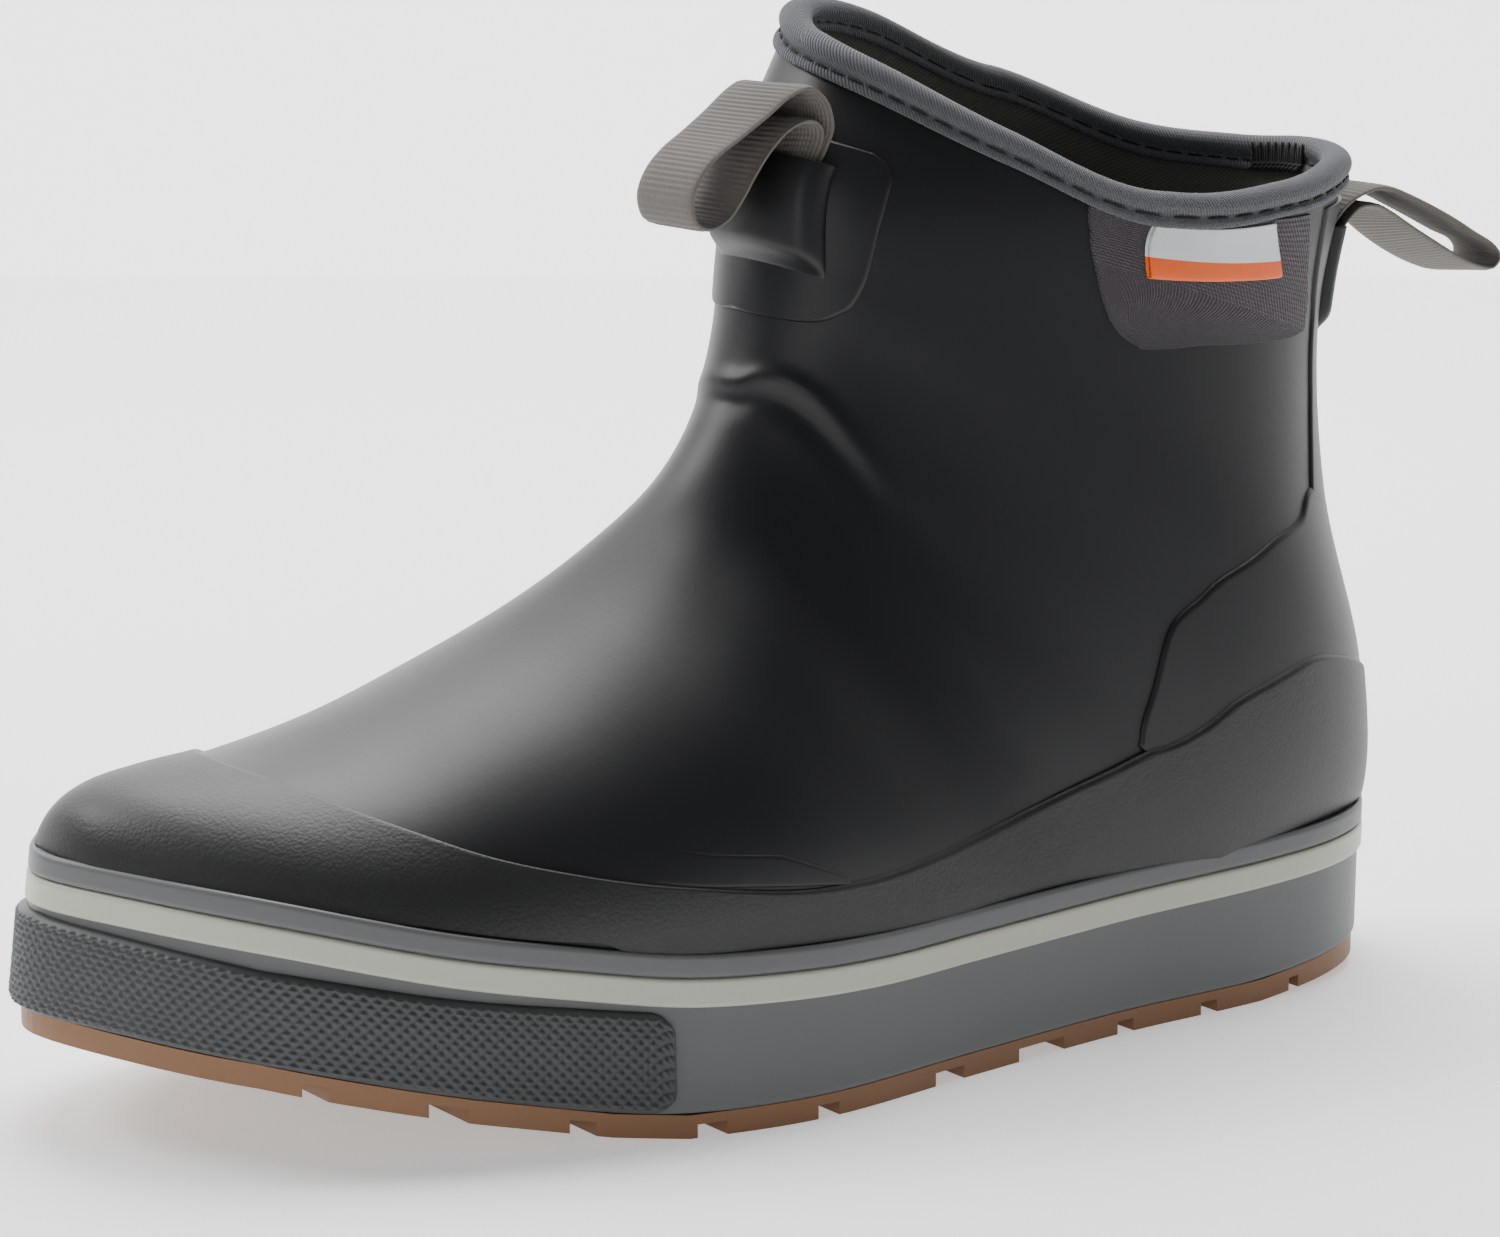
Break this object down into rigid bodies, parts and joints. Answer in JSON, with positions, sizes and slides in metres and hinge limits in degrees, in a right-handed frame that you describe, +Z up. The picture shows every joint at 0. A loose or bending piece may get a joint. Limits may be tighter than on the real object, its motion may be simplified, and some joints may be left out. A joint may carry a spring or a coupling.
{
  "type": "deck boot",
  "caption": "Low pull-on rubber deck boot with a grey striped sidewall, gum outsole, webbing pull loops front and back, and a bound collar over a cloth sock.",
  "frame": {"origin": "on the ground under the middle of the sole, on the tread's flat face", "axes": "+Z up, toe towards -Y, heel towards +Y, the outer (lateral) side of this left boot towards +X"},
  "size_m": [0.1181, 0.3413, 0.203],
  "materials": {
    "gum_rubber": "matt gum rubber, tan brown",
    "foam": "closed-cell foam",
    "grey_rubber": "smooth satin mid-grey rubber",
    "stripe_rubber": "smooth satin pale sage-grey rubber",
    "bumper_rubber": "dark grey rubber with a diamond knurl",
    "black_rubber": "satin near-black rubber",
    "grained_rubber": "near-black rubber with a fine pebble grain",
    "webbing": "warm grey ribbed grosgrain webbing",
    "knit": "purple-grey stretch knit",
    "binding_tape": "charcoal ribbed elastic tape",
    "thread": "dark sewing thread",
    "label_cloth": "white woven satin with an orange lower band, no lettering",
    "lining_cloth": "dark olive-grey twill",
    "stiffener_board": "pressed thermoplastic sheet",
    "fibre_board": "pressed fibre board",
    "footbed_foam": "moulded foam",
    "footbed_cloth": "dark knit cloth"
  },
  "bodies": {
    "boot": {"outsole": "gum_rubber", "midsole": "foam", "foxing_sidewall": "grey_rubber", "foxing_stripe": "stripe_rubber", "foxing_top_band": "grey_rubber", "toe_bumper": "bumper_rubber", "upper_shell": "black_rubber", "toe_heel_guard": "grained_rubber", "vamp_reinforcement": "black_rubber", "heel_counter": "black_rubber", "back_strip": "black_rubber", "kick_lug": "black_rubber", "front_patch": "black_rubber", "front_pocket": "black_rubber", "front_loop_tail": "webbing", "rear_patch": "black_rubber", "rear_loop_tail": "webbing", "gore_panel": "knit", "collar_binding": "binding_tape", "binding_stitches": "thread", "label_seam": "label_cloth", "lining": "lining_cloth", "toe_stiffener": "stiffener_board", "heel_stiffener": "stiffener_board", "insole_board": "fibre_board", "footbed": "footbed_foam", "footbed_topcloth": "footbed_cloth"},
    "front_pull": {"front_loop": "webbing"},
    "rear_pull": {"rear_loop": "webbing"},
    "label_flap": {"woven_label": "label_cloth"}
  },
  "joints": [
    {"name": "front_loop_swing", "type": "hinge", "parent": "boot", "child": "front_pull", "pos_m": [0.004, 0.0035, 0.185], "axis": [-1, 0, 0], "range_deg": [0, 105]},
    {"name": "rear_loop_swing", "type": "hinge", "parent": "boot", "child": "rear_pull", "pos_m": [-0.002, 0.1525, 0.16], "axis": [1, 0, 0], "range_deg": [0, 70]},
    {"name": "label_lift", "type": "hinge", "parent": "boot", "child": "label_flap", "pos_m": [0.0307, 0.0924, 0.1571], "axis": [0.0958, -0.9954, 0], "range_deg": [0, 75]}
  ]
}
